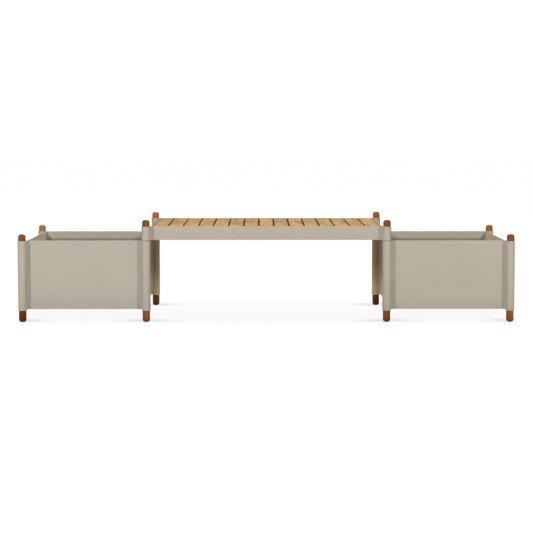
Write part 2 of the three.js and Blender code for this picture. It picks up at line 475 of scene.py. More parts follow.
def new_group(
    name: str, inputs: Sequence[str], outputs: Sequence[str]
) -> tuple[Wiring, dict, bpy.types.Node]:
    """Starts a shader node group that takes a place and numbers, and gives numbers.

    Args:
        name: The group's name.
        inputs: The names of its inputs.
        outputs: The names of its outputs.

    Returns:
        Its wiring, its input sockets by name, and its output node.
    """
    tree = bpy.data.node_groups.new(name, "ShaderNodeTree")
    for key in inputs:
        kind = "NodeSocketVector" if key == "Place" else "NodeSocketFloat"
        tree.interface.new_socket(name=key, in_out="INPUT", socket_type=kind)
    for key in outputs:
        tree.interface.new_socket(name=key, in_out="OUTPUT", socket_type="NodeSocketFloat")
    entry = tree.nodes.new("NodeGroupInput")
    leave = tree.nodes.new("NodeGroupOutput")
    return Wiring(tree), {key: entry.outputs[key] for key in inputs}, leave


@dataclass(frozen=True)
class LongGrain:
    """The figure of sawn timber whose grain runs along the third coordinate.

    Its place, seed, ring width, wander and distance from the pith go in. Each noise has its
    features in a metre along each axis, its detail, and what its mask spreads over.
    """

    drift_scale: Point = (9, 9, 2.2)
    drift_detail: float = 1.5
    seed_shift: Point = (7.3, 11.4, 15.5)
    ring_sharpness: float = 2.2
    noises: ClassVar[dict[str, tuple[Point, float, Span | None]]] = {
        "Streaks": ((150, 150, 3.2), 3.0, (0.32, 0.68)),
        "Fibres": ((850, 850, 16), 3.0, None),
        "Pores": ((1500, 1500, 60), 1.0, (0.62, 0.76)),
        "Patches": ((22, 22, 7), 2.0, (0.3, 0.7)),
    }

    def build(self) -> bpy.types.NodeTree:
        """Builds the group, which gives ring, streak, fibre, pore and patch masks.

        Returns:
            The group.
        """
        inputs = ("Place", "Seed", "Ring Width", "Wander", "Pith Distance")
        wires, given, leave = new_group("long_grain", inputs, ("Rings", *self.noises))
        turn = wires.sum("MULTIPLY", given["Seed"], math.tau)
        sides = [wires.sum(wave, turn) for wave in ("COSINE", "SINE")]
        pith = {i: wires.sum("MULTIPLY", side, given["Pith Distance"]) for i, side in enumerate(sides)}
        off_pith = wires.vector("SUBTRACT", given["Place"], wires.add("CombineXYZ", pith).outputs[0])
        radius = wires.vector("LENGTH", wires.vector("MULTIPLY", off_pith, (1, 1, 0)))
        shift = {i: wires.sum("MULTIPLY", given["Seed"], step) for i, step in enumerate(self.seed_shift)}
        cut = wires.vector("ADD", given["Place"], wires.add("CombineXYZ", shift).outputs[0])
        drift = wires.sum("SUBTRACT", wires.noise(cut, self.drift_scale, self.drift_detail), 0.5)
        wandering = wires.sum("MULTIPLY_ADD", drift, given["Wander"], radius)
        count = wires.sum("MULTIPLY", wires.sum("DIVIDE", wandering, given["Ring Width"]), math.tau)
        wave = wires.sum("MULTIPLY_ADD", wires.sum("SINE", count), 0.5, 0.5)
        masks = {"Rings": wires.sum("POWER", wave, self.ring_sharpness)}
        for key, (scale, detail, spread) in self.noises.items():
            noise = wires.noise(cut, scale, detail)
            masks[key] = wires.span(noise, *spread) if spread else noise
        wires.feed(leave, masks)
        return wires.tree


@dataclass(frozen=True)
class OrangePeel:
    """The fine skin of a sprayed or moulded surface, from its place and its grains in a metre."""

    speckle_ratio: float = 2.6
    speckle_spread: Span = (0.35, 0.65)
    cloud_scale: float = 5.0
    details: Point = (2.0, 1.0, 3.0)

    def build(self) -> bpy.types.NodeTree:
        """Builds the group, which gives the skin's height, its speckle and a slow cloud.

        Returns:
            The group.
        """
        outputs = ("Height", "Speckle", "Cloud")
        wires, given, leave = new_group("orange_peel", ("Place", "Grains"), outputs)
        finer = wires.sum("MULTIPLY", given["Grains"], self.speckle_ratio)
        scales = (given["Grains"], finer, self.cloud_scale)
        noises = {}
        for key, scale, detail in zip(outputs, scales, self.details):
            inputs = {"Vector": given["Place"], "Scale": scale, "Detail": detail}
            noises[key] = wires.add("TexNoise", inputs).outputs[0]
        wires.feed(leave, noises | {"Speckle": wires.span(noises["Speckle"], *self.speckle_spread)})
        return wires.tree


@dataclass(frozen=True)
class RisingDustAndShade:
    """A mask that rises from the ground, from a place and its reach: dust on the coat, and at the posts' feet
    partly moisture and partly painted shade.
    """

    ragged_scale: Point = (60, 60, 60)
    ragged_detail: float = 3.0
    overreach: float = 1.6
    fade: Span = (1.0, 0.2)

    def build(self) -> bpy.types.NodeTree:
        """Builds the group, which gives the mask near the ground.

        Returns:
            The group.
        """
        wires, given, leave = new_group("rising_dust_and_shade", ("Place", "Reach"), ("Dust",))
        noise = wires.noise(given["Place"], self.ragged_scale, self.ragged_detail)
        ragged = wires.sum("MULTIPLY_ADD", noise, given["Reach"], wires.split(given["Place"])[2])
        share = wires.sum("DIVIDE", ragged, wires.sum("MULTIPLY", given["Reach"], self.overreach))
        wires.feed(leave, {"Dust": wires.span(share, *self.fade)})
        return wires.tree


class Effects:
    """The node groups that the finishes share, each built once."""

    def __init__(self) -> None:
        """Builds every group."""
        self.long_grain = LongGrain().build()
        self.orange_peel = OrangePeel().build()
        self.rising_dust_and_shade = RisingDustAndShade().build()


# Finishes


class MaterialWiring(Wiring):
    """The wiring of one material, from the place in the part's frame to its shader."""

    def __init__(self, name: str) -> None:
        """Starts a material with a Principled shader.

        Args:
            name: The material's name.
        """
        self.material = bpy.data.materials.new(name)
        self.material.use_nodes = True
        super().__init__(self.material.node_tree)
        self.shader = self.tree.nodes["Principled BSDF"]
        self.place = self.add("TexCoord").outputs["Object"]

    def skin(self, effects: Effects, grains: float) -> bpy.types.bpy_prop_collection:
        """Adds the orange peel, and gives its height, speckle and cloud."""
        inputs = {"Place": self.place, "Grains": grains}
        return self.add("Group", inputs, node_tree=effects.orange_peel).outputs

    def dust(self, effects: Effects, reach: float) -> bpy.types.NodeSocket:
        """Adds the mask near the ground, which carries dust on the coat and painted shade on the posts, and
        gives it.
        """
        inputs = {"Place": self.place, "Reach": reach}
        return self.add("Group", inputs, node_tree=effects.rising_dust_and_shade).outputs[0]

    def finish(self, inputs: dict, bump: dict | None = None) -> bpy.types.Material:
        """Feeds the shader.

        Args:
            inputs: What feeds it.
            bump: What feeds its relief, if it has any.

        Returns:
            The finished material.
        """
        self.feed(self.shader, inputs)
        if bump:
            self.feed(self.shader, {"Normal": self.add("Bump", bump).outputs[0]})
        return self.material


@dataclass(frozen=True)
class OiledTimber:
    """Oiled hardwood, its figure following the grain of each piece."""

    name: str
    dark: Colour
    body: Colour
    light: Colour
    grain: GrainAxis
    ring_width: float
    pith_distance: float
    wander: float = 9 * MM
    ring_share: float = 0.45
    streak_share: float = 0.5
    pore_share: float = 0.55
    mirror: float = 0.18
    roughness: float = 0.52
    sheen: Span = (-0.08, 0.1)
    sheen_spread: Span = (0.3, 0.7)
    relief: float = 0.25 * MM
    bump: float = 0.35
    pore_depth: float = 0.6
    ring_depth: float = 0.25
    # How high and how strongly the feet darken: partly moisture, partly painted shade
    foot_reach: float = 0.0
    foot_share: float = 0.6
    # Painted shade on the slats' sides down in the gaps: where it starts, how far out the sides are, and its
    # fade, edge and colour
    gap_below: float = 0.0
    gap_beside: float = 0.0
    gap_fade: float = 1.1 * MM
    gap_edge: Span = (2.0 * MM, 0.6 * MM)
    painted_gap_shade: Colour = (0.33, 0.074, 0.004)
    pale_tones: Span = (1.55, 1.75)
    pale_richness: float = 0.95
    pale_hue: float = 0.508
    deep_tones: Span = (0.62, 0.8)
    deep_richness: float = 1.07

    def make(self, effects: Effects) -> bpy.types.Material:
        """Builds the material.

        Args:
            effects: The shared node groups.

        Returns:
            The material.
        """
        wires = MaterialWiring(self.name)
        centre = wires.add("Attribute", attribute_name=CENTRE_ATTRIBUTE).outputs["Vector"]
        seed = wires.add("Attribute", attribute_name=SEED_ATTRIBUTE).outputs["Fac"]
        local = wires.vector("SUBTRACT", wires.place, centre)
        if self.grain is GrainAxis.Y:
            x, y, z = wires.split(local)
            local = wires.add("CombineXYZ", {0: x, 1: z, 2: y}).outputs[0]
        cut = {"Place": local, "Seed": seed, "Ring Width": self.ring_width, "Wander": self.wander}
        cut["Pith Distance"] = self.pith_distance
        mask = wires.add("Group", cut, node_tree=effects.long_grain).outputs

        colour = wires.tint(mask["Patches"], self.body, self.light)
        shares = {"Rings": self.ring_share, "Streaks": self.streak_share, "Pores": self.pore_share}
        for key, share in shares.items():
            colour = wires.cover(colour, self.dark, mask[key], share)
        # Darker towards each post's foot: partly moisture, partly painted shade
        if self.foot_reach:
            painted_foot_shade = wires.dust(effects, self.foot_reach)
            colour = wires.cover(colour, self.dark, painted_foot_shade, self.foot_share)
        # Painted shade on the slats' sides, down in the gaps between them
        if self.gap_below:
            aside, height, _ = wires.split(local)
            low_down = wires.span(height, self.gap_below, self.gap_below - self.gap_fade)
            edge = (self.gap_beside - reach for reach in self.gap_edge)
            beside = wires.span(wires.sum("ABSOLUTE", aside), *edge)
            colour = wires.tint(wires.sum("MULTIPLY", low_down, beside), colour, self.painted_gap_shade)

        sheen = tuple(self.roughness + change for change in self.sheen)
        fibre = wires.sum("SUBTRACT", mask["Fibres"], wires.sum("MULTIPLY", mask["Pores"], self.pore_depth))
        height = wires.sum("SUBTRACT", fibre, wires.sum("MULTIPLY", mask["Rings"], self.ring_depth))
        inputs = {
            "Base Color": self.at_lightness(wires, colour),
            "Roughness": wires.span(mask["Fibres"], *self.sheen_spread, sheen),
            "Specular IOR Level": self.mirror,
        }
        return wires.finish(inputs, {"Strength": self.bump, "Distance": self.relief, "Height": height})

    def at_lightness(self, wires: MaterialWiring, colour: bpy.types.NodeSocket) -> bpy.types.NodeSocket:
        """Makes each end of a piece as light as it is marked to be, which paints light and shade on the
        posts.

        Args:
            wires: The material's wiring.
            colour: The timber's colour so far.

        Returns:
            The lighter or darker colour, duller where it is pale as a painted sheen and richer where it is
            deep as painted shade.
        """
        lightness = wires.add("Attribute", attribute_name=LIGHTNESS_ATTRIBUTE).outputs["Fac"]
        pale = wires.span(lightness, *self.pale_tones, (1.0, self.pale_richness))
        deep = wires.span(lightness, *self.deep_tones, (self.deep_richness, 1.0))
        hue = wires.span(lightness, *self.pale_tones, (0.5, self.pale_hue))
        richness = wires.sum("MULTIPLY", pale, deep)
        inputs = {"Hue": hue, "Saturation": richness, "Value": lightness, "Color": colour}
        return wires.add("HueSaturation", inputs).outputs[0]


@dataclass(frozen=True)
class PowderCoat:
    """A matt, fine-textured powder coat."""

    name: str
    colour: Colour
    shade: Colour
    roughness: float = 0.55
    rougher: float = 0.09
    grains: float = 700.0
    relief: float = 0.13 * MM
    bump: float = 0.6
    cloud_spread: Span = (0.35, 0.65)
    cloud_share: float = 0.7
    speckle_share: float = 0.55
    dust: Colour = (0.40, 0.35, 0.28)
    dust_reach: float = 0.06
    dust_share: float = 0.1
    # Painted shade on the sides under the seat, darker at the top, and painted bounce light on sides turned
    # into a planter and at the foot of sides turned out
    under_seat_reach: Span = (0.215, 0.085)
    under_seat_top: Colour = (0.8, 0.75, 0.61)
    under_seat_foot: Colour = (1.3, 1.3, 1.17)
    turned_in: Colour = (1.1, 1.085, 1.035)
    turned_out_reach: Span = (0.3, 0.08)
    turned_out_foot: Colour = (1.06, 1.06, 1.08)

    def make(self, effects: Effects) -> bpy.types.Material:
        """Builds the material.

        Args:
            effects: The shared node groups.

        Returns:
            The material.
        """
        wires = MaterialWiring(self.name)
        skin = wires.skin(effects, self.grains)
        cloud = wires.span(skin["Cloud"], *self.cloud_spread, (0.0, self.cloud_share))
        colour = wires.tint(cloud, self.colour, self.shade)
        colour = wires.cover(colour, self.shade, skin["Speckle"], self.speckle_share)
        colour = wires.cover(colour, self.dust, wires.dust(effects, self.dust_reach), self.dust_share)
        rough = wires.span(skin["Speckle"], 0.0, 1.0, (self.roughness, self.roughness + self.rougher))
        bump = {"Strength": self.bump, "Distance": self.relief, "Height": skin["Height"]}
        return wires.finish({"Base Color": self.lit(wires, colour), "Roughness": rough}, bump)

    def lit(self, wires: MaterialWiring, colour: bpy.types.NodeSocket) -> bpy.types.NodeSocket:
        """Shades the sides that look in under the seat and lifts those that take bounced light.

        Args:
            wires: The material's wiring.
            colour: The coat's colour so far.

        Returns:
            The shaded colour.
        """
        marked = wires.add("Attribute", attribute_name=SIDE_ATTRIBUTE).outputs["Vector"]
        under_seat, turned_in, turned_out = wires.split(marked)
        height = wires.split(wires.place)[2]
        low_down = wires.span(height, *self.under_seat_reach)
        shade = wires.tint(low_down, self.under_seat_top, self.under_seat_foot)
        bounced = wires.sum("MULTIPLY", turned_out, wires.span(height, *self.turned_out_reach))
        lights = ((under_seat, shade), (turned_in, self.turned_in), (bounced, self.turned_out_foot))
        for share, light in lights:
            colour = wires.tint(share, colour, light, "MULTIPLY")
        return colour


@dataclass(frozen=True)
class MouldedPlastic:
    """A plain moulded plastic with a faint grained skin."""

    name: str
    colour: Colour
    worn: Colour
    roughness: float = 0.62
    rougher: float = 0.08
    grains: float = 420.0
    relief: float = 0.12 * MM
    bump: float = 0.5
    worn_spread: Span = (0.4, 0.7)
    scuff_scale: Point = (300, 300, 35)
    scuff_detail: float = 3.0
    scuff_spread: Span = (0.6, 0.75)
    scuff_share: float = 0.5

    def make(self, effects: Effects) -> bpy.types.Material:
        """Builds the material.

        Args:
            effects: The shared node groups.

        Returns:
            The material.
        """
        wires = MaterialWiring(self.name)
        skin = wires.skin(effects, self.grains)
        colour = wires.tint(wires.span(skin["Cloud"], *self.worn_spread), self.colour, self.worn)
        scuffs = wires.span(wires.noise(wires.place, self.scuff_scale, self.scuff_detail), *self.scuff_spread)
        colour = wires.cover(colour, self.worn, scuffs, self.scuff_share)
        roughs = (self.roughness - self.rougher, self.roughness + self.rougher)
        rough = wires.span(skin["Speckle"], 0.0, 1.0, roughs)
        bump = {"Strength": self.bump, "Distance": self.relief, "Height": skin["Height"]}
        return wires.finish({"Base Color": colour, "Roughness": rough}, bump)


@dataclass(frozen=True)
class BrushedSteel:
    """Bare stainless steel, for the screw heads."""

    name: str
    colour: Colour = (0.56, 0.55, 0.53)
    dull_share: float = 0.7
    roughness: float = 0.32
    rougher: float = 0.2
    grains: float = 2500.0

    def make(self, effects: Effects) -> bpy.types.Material:
        """Builds the material.

        Args:
            effects: The shared node groups.

        Returns:
            The material.
        """
        wires = MaterialWiring(self.name)
        speckle = wires.skin(effects, self.grains)["Speckle"]
        dull = tuple(self.dull_share * part for part in self.colour)
        rough = wires.span(speckle, 0.0, 1.0, (self.roughness, self.roughness + self.rougher))
        colour = wires.tint(speckle, self.colour, dull)
        return wires.finish({"Base Color": colour, "Roughness": rough, "Metallic": 1.0})


class Finishes:
    """Every material of the object, each with the record's material slot that it belongs to."""

    def __init__(self) -> None:
        """Builds the materials on the shared node groups."""
        effects = Effects()
        post_wood = OiledTimber(
            name="oiled_post_hardwood",
            dark=(0.115, 0.030, 0.007),
            body=(0.33, 0.098, 0.019),
            light=(0.42, 0.142, 0.032),
            grain=GrainAxis.Z,
            ring_width=4.2 * MM,
            pith_distance=16 * MM,
            foot_reach=0.035,
        )
        slat_start, slat_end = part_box("seat_slat_01")
        slat_wood = OiledTimber(
            name="oiled_slat_teak",
            dark=(0.21, 0.098, 0.036),
            body=(0.44, 0.268, 0.119),
            light=(0.595, 0.428, 0.25),
            grain=GrainAxis.Y,
            ring_width=7.5 * MM,
            pith_distance=55 * MM,
            wander=22 * MM,
            ring_share=0.3,
            streak_share=0.32,
            roughness=0.6,
            # Painted shade in the gaps between the slats
            gap_below=9.7 * MM,
            gap_beside=(slat_end.x - slat_start.x) / 2,
        )
        coat = PowderCoat("greige_powder_coat", (0.5, 0.453, 0.381), (0.475, 0.428, 0.361))
        # The ledges and bearer are coloured near black as painted shade, so that the space under the slats
        # reads dark
        support_coat = PowderCoat(
            "painted_shade_powder_coat", (0.032, 0.021, 0.012), (0.024, 0.016, 0.009), dust=(0.05, 0.04, 0.03)
        )
        liner = MouldedPlastic("taupe_moulded_plastic", (0.30, 0.253, 0.18), (0.34, 0.295, 0.215))
        nylon = MouldedPlastic(
            "black_nylon", (0.022, 0.021, 0.020), (0.035, 0.034, 0.032), grains=1800.0, relief=0.03 * MM
        )
        self.post_wood: Dress = (post_wood.make(effects), "post_wood")
        self.slat_wood: Dress = (slat_wood.make(effects), "slat_wood")
        self.coat: Dress = (coat.make(effects), "powder_coat")
        self.support_coat: Dress = (support_coat.make(effects), "support_coat")
        self.liner: Dress = (liner.make(effects), "liner_plastic")
        self.nylon: Dress = (nylon.make(effects), "spacer_nylon")
        self.steel: Dress = (BrushedSteel("stainless_steel").make(effects), "powder_coat")


def hand_over(
    piece: bpy.types.Object, material: bpy.types.Material, slot: str, body: str, node: str | None = None
) -> None:
    """Dresses a finished piece and fixes it to its body.

    Args:
        piece: The piece.
        material: Its finish.
        slot: The record's material slot for it. Not used.
        body: The body it moves with.
        node: The CAD node it stands for, if any.
    """
    piece.data.materials.clear()
    piece.data.materials.append(material)
    if node is not None:
        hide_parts(node)
    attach(piece, body)
    LOG.info("%s: %d faces, rides %s", piece.name, len(piece.data.polygons), body)


def nodes_named(start: str) -> list[str]:
    """Lists the CAD nodes whose names start with some words, in order."""
    return sorted(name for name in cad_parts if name.startswith(start))


def foot_of(node: str) -> Vector:
    """Gives the middle of the lowest face of a CAD node's box."""
    low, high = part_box(node)
    return Vector(((low.x + high.x) / 2, (low.y + high.y) / 2, low.z))


def size_of(node: str) -> Vector:
    """Gives the size of a CAD node's box."""
    low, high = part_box(node)
    return high - low


def set_out(pattern: bpy.types.Object, start: str, new_start: str) -> Iterator[tuple[bpy.types.Object, str]]:
    """Copies a pattern from the origin to each CAD node of a kind, then clears it away.

    Args:
        pattern: The finished pattern.
        start: How the CAD nodes' names start.
        new_start: How the new pieces' names start.

    Yields:
        Each copy and the CAD node where it stands.
    """
    for node in nodes_named(start):
        yield copy_piece(pattern, node.replace(start, new_start), Matrix.Translation(foot_of(node))), node
    bpy.data.objects.remove(pattern)


# Sub-assemblies


@dataclass
class Posts:
    """The eight round timber posts."""

    finishes: Finishes
    end_radius: float = 12.5 * MM
    end_segments: int = 10

    def build(self) -> None:
        """Models one post of each height and copies it to the others' places."""
        made: dict[float, bpy.types.Object] = {}
        for index, node in enumerate(nodes_named("post_")):
            size = size_of(node)
            height = round(size.z, LENGTH_DIGITS)
            if height not in made:
                made[height] = self.turn_post(node, size.x, height)
            name = node.replace("post_", "timber_post_")
            piece = copy_piece(made[height], name, Matrix.Translation(foot_of(node)))
            # Each post's ends are made lighter or darker, partly as its own colour and partly as painted
            # light and shade
            mark(piece, (index * SEED_STEP) % 1, *POST_TONE_AND_PAINTED_LIGHT[node.removeprefix("post_")])
            hand_over(piece, *self.finishes.post_wood, "base", node)
        for pattern in made.values():
            bpy.data.objects.remove(pattern)

    def turn_post(self, name: str, diameter: float, height: float) -> bpy.types.Object:
        """Turns a post on the origin.

        Args:
            name: A name for the pattern.
            diameter: The post's diameter.
            height: The post's height.

        Returns:
            The pattern post.
        """
        post = Workpiece.rod(f"pattern_{name}", (0, 0, 0), diameter / 2, height)
        for end in (0.0, height):
            post.pick(Element.EDGE, lambda at, run: abs(run.z) < MM and abs(at.z - end) < MM)
            post.bevel(self.end_radius, self.end_segments)
        return post.finish()


@dataclass
class CornerTubes:
    """The tubes around the posts, and the nylon rings between them."""

    finishes: Finishes
    wall: float = 2.6 * MM
    rim_round: float = 0.9 * MM
    rim_segments: int = 3
    spacer_wall: float = 1.6 * MM
    spacer_round: float = 0.2 * MM
    # Painted shade under the seat on the planters' inner back tubes, and painted bounce light on the seat's
    # inner back tubes
    back_sides: ClassVar[dict[str, Point]] = {
        "planter_tube_": (1.0, 0.0, 0.0),
        "seat_tube_": (0.0, 1.0, 0.0),
    }

    def build(self) -> None:
        """Cuts the planters' tubes, the seat's tubes and the rings."""
        coat, tube = self.finishes.coat, (self.wall, self.rim_round)
        self.cut_kind("planter_tube_", "corner_tube_", tube, coat, "base")
        self.cut_kind("seat_tube_", "seat_frame_tube_", tube, coat, "seat")
        ring = (self.spacer_wall, self.spacer_round)
        self.cut_kind("spacer_", "nylon_ring_", ring, self.finishes.nylon, "base")

    def cut_kind(self, start: str, new_start: str, section: Span, dress: Dress, body: str) -> None:
        """Cuts one tube of a kind, eases its ends and copies it to every place.

        Args:
            start: How the CAD nodes' names start.
            new_start: How the new pieces' names start.
            section: The wall's thickness, and how far the ends are eased.
            dress: The finish.
            body: The body the tubes ride on.
        """
        size = size_of(nodes_named(start)[0])
        tube = Workpiece.rod(f"pattern_{start}", (0, 0, 0), size.x / 2, size.z, capped=False)
        wall, rim = section
        tube.thicken(wall, -1)
        tube.ease_edges(rim, self.rim_segments)
        for piece, node in set_out(tube.finish(), start, new_start):
            if node.endswith("inner_back") and start in self.back_sides:
                mark_sides(piece, [self.back_sides[start]] * len(piece.data.vertices))
            hand_over(piece, *dress, body, node)


@dataclass
class FoldedSheets:
    """The planters' walls and the seat's rails, folded at both ends to meet the tubes."""

    finishes: Finishes
    setback: float = 22 * MM
    tube_radius: float = 20.4 * MM
    fit: float = 0.3 * MM
    fold_radius: float = 2.0 * MM
    fold_segments: int = 5
    edge_round: float = 0.6 * MM
    bead_radius: float = 1.5 * MM
    bead_round: float = 0.5 * MM
    bead_sides: int = 10
    bead_sink: float = 0.1 * MM
    bead_end_gap: float = 1 * MM

    def build(self, start: str, new_start: str, thickness: float, body: str) -> None:
        """Folds one sheet of each size and copies it and its weld beads into place.

        Args:
            start: How the CAD nodes' names start.
            new_start: How the new pieces' names start.
            thickness: The sheet's thickness.
            body: The body the sheets ride on.
        """
        made: dict[float, tuple[bpy.types.Object, bpy.types.Object]] = {}
        for node in nodes_named(start):
            size = size_of(node)
            length = round(max(size.x, size.y), LENGTH_DIGITS)
            if length not in made:
                span = length + 2 * (self.tube_radius + self.fit + self.fit / 2) * DIAGONAL
                made[length] = (self.fold(span, thickness, size.z), self.lay_beads(span, thickness, size.z))
            placing = self.place(node, thickness)
            pattern, beads = made[length]
            sheet = copy_piece(pattern, node.replace(start, new_start), placing)
            outward = placing.to_3x3() @ Vector((0, -1, 0))
            mark_sides(sheet, [self.side_of(node, vert.normal.dot(outward)) for vert in sheet.data.vertices])
            hand_over(sheet, *self.finishes.coat, body, node)
            hand_over(copy_piece(beads, "weld_" + node, placing), *self.finishes.coat, body)
        for pair in made.values():
            for pattern in pair:
                bpy.data.objects.remove(pattern)

    def side_of(self, node: str, facing: float) -> Point:
        """Says what a point of a sheet looks at.

        Args:
            node: The CAD node.
            facing: How far the point looks outwards, from -1 to 1.

        Returns:
            How far it looks in under the seat, into a planter and out of it.
        """
        out, back = max(0.0, facing), max(0.0, -facing)
        if node.startswith("seat"):
            return (back, 0.0, 0.0)
        return (out, back, 0.0) if node.endswith("inner") else (0.0, back, out)

    def place(self, node: str, thickness: float) -> Matrix:
        """Says where a sheet goes whose tubes stand on the X axis.

        Args:
            node: The CAD node.
            thickness: The sheet's thickness.

        Returns:
            The turn and the move from the origin.
        """
        low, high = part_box(node)
        middle = (low + high) / 2
        box_half = min(high.x - low.x, high.y - low.y) / 2
        turn = Matrix.Rotation(self.outward_turn(node, middle), 4, "Z")
        axis_line = middle + turn @ Vector((0, box_half - self.setback - thickness, 0))
        return Matrix.Translation((axis_line.x, axis_line.y, low.z)) @ turn

    def outward_turn(self, node: str, middle: Vector) -> float:
        """Says how a sheet drawn facing -Y turns to face out of its box.

        Args:
            node: The CAD node.
            middle: The middle of its box.

        Returns:
            The turn about Z, in radians.
        """
        if node.endswith("front"):
            return 0.0
        if node.endswith("back"):
            return math.pi
        faces_right = (middle.x > 0) != node.endswith("inner")
        return QUARTER if faces_right else -QUARTER

    def fold(self, span: float, thickness: float, height: float) -> bpy.types.Object:
        """Folds a sheet whose two tubes stand on the X axis, facing -Y.

        Args:
            span: The distance between the tubes' axes.
            thickness: The sheet's thickness.
            height: Its height.

        Returns:
            The folded sheet.
        """
        level = self.setback + thickness / 2
        off_diagonal = (self.fit + thickness) / 2
        flat_half = span / 2 - level - off_diagonal / DIAGONAL
        run = (self.tube_radius + self.fit - off_diagonal) * DIAGONAL - level
        sheet = Workpiece.upright_sheet("pattern_sheet", (0, level, 0), 2 * flat_half, height)

        def on_fold(at: Vector, line: Vector) -> bool:
            """Says whether an edge runs up the line where the face ends."""
            return abs(line.x) < MM and abs(abs(at.x) - flat_half) < MM and abs(at.y - level) < MM

        for side in (-1, 1):
            sheet.pick(Element.EDGE, lambda at, line: on_fold(at, line) and at.x * side > 0)
            sheet.extrude((-side * run, run, 0))
        sheet.pick(Element.EDGE, on_fold)
        sheet.bevel(self.fold_radius, self.fold_segments)
        sheet.thicken(thickness, 0)
        sheet.ease_edges(self.edge_round)
        return sheet.finish()

    def lay_beads(self, span: float, thickness: float, height: float) -> bpy.types.Object:
        """Lays a weld bead up each end of a sheet, in the corner between fold and tube.

        Args:
            span: The distance between the tubes' axes.
            thickness: The sheet's thickness.
            height: The sheet's height.

        Returns:
            Both beads as one object.
        """
        reach = (self.tube_radius + self.fit / 2 - thickness) * DIAGONAL
        inwards = reach + (self.fit / 2 + thickness) / DIAGONAL - self.bead_sink
        beads = []
        for side in (-1, 1):
            foot = (side * (span / 2 - inwards), reach - self.bead_sink, self.bead_end_gap)
            length = height - 2 * self.bead_end_gap
            bead = Workpiece.rod("bead", foot, self.bead_radius, length, self.bead_sides)
            bead.ease_edges(self.bead_round, over=SHARP_DEGREES)
            beads.append(bead.finish())
        return join_pieces(beads, "pattern_beads")


@dataclass
class PlanterFittings:
    """The planters' floors and lift-out liners."""

    finishes: Finishes
    inside_width: float = 535 * MM
    floor_thickness: float = 2 * MM
    floor_round: float = 0.8 * MM
    floor_drain: float = 12 * MM
    drain_share: float = 0.27
    liner_wall: float = 2.5 * MM
    liner_gap: float = 5 * MM
    rim_thickness: float = 4 * MM
    liner_corner: float = 22 * MM
    corner_segments: int = 8
    liner_drain: float = 7 * MM
    liner_round: float = 0.9 * MM

    def build(self) -> None:
        """Models a floor and a liner and copies each to its two places."""
        size = size_of(nodes_named("planter_floor_")[0])
        for piece, node in set_out(self.press_floor(size.x, size.z), "planter_floor_", "drained_floor_"):
            hand_over(piece, *self.finishes.coat, "base", node)
        size = size_of(nodes_named("planter_liner_")[0])
        for piece, node in set_out(self.mould_liner(size.x, size.z), "planter_liner_", "liner_tub_"):
            hand_over(piece, *self.finishes.liner, node.removeprefix("planter_"), node)

    def drains(self, below: float) -> list[Vector]:
        """Gives the four drain holes' places at the height that the drill starts from."""
        reach = self.drain_share * self.inside_width
        return [Vector((x * reach, y * reach, below)) for x in (-1, 1) for y in (-1, 1)]

    def press_floor(self, width: float, height: float) -> bpy.types.Object:
        """Presses a floor pan, open below, on the origin.

        Args:
            width: Its width both ways.
            height: The height of its skirt.

        Returns:
            The pattern floor.
        """
        half = width / 2
        pan = Workpiece.block("pattern_floor", (-half, -half, 0), (half, half, height))
        pan.pick(Element.FACE, lambda at, normal: normal.z < -FACING)
        pan.inset(self.floor_thickness)
        pan.extrude((0, 0, height - self.floor_thickness))
        pan.ease_edges(self.floor_round)
        pan.drill(self.drains(height / 2), self.floor_drain, height)
        return pan.finish()

    def mould_liner(self, rim_width: float, height: float) -> bpy.types.Object:
        """Moulds a liner tub with a turned-out rim on the origin.

        Args:
            rim_width: The rim's width both ways.
            height: The liner's height.

        Returns:
            The pattern liner.
        """
        width = self.inside_width - 2 * self.liner_gap
        half = width / 2
        shoulder = height - self.rim_thickness
        tub = Workpiece.block("pattern_liner", (-half, -half, 0), (half, half, shoulder))
        tub.pick(Element.EDGE, lambda at, run: abs(run.z) > shoulder / 2)
        tub.bevel(self.liner_corner, self.corner_segments)
        tub.pick(Element.FACE, lambda at, normal: normal.z > FACING and at.z > shoulder - MM)
        tub.extrude((0, 0, 0))
        tub.resize((rim_width / width, rim_width / width, 1), (0, 0, shoulder))
        tub.extrude((0, 0, self.rim_thickness))
        tub.extrude((0, 0, 0))
        hollow = width - 2 * self.liner_wall
        tub.resize((hollow / rim_width, hollow / rim_width, 1), (0, 0, height))
        tub.extrude((0, 0, self.liner_wall - height))
        tub.ease_edges(self.liner_round)
        tub.drill(self.drains(-height / 2), self.liner_drain, height)
        return tub.finish()


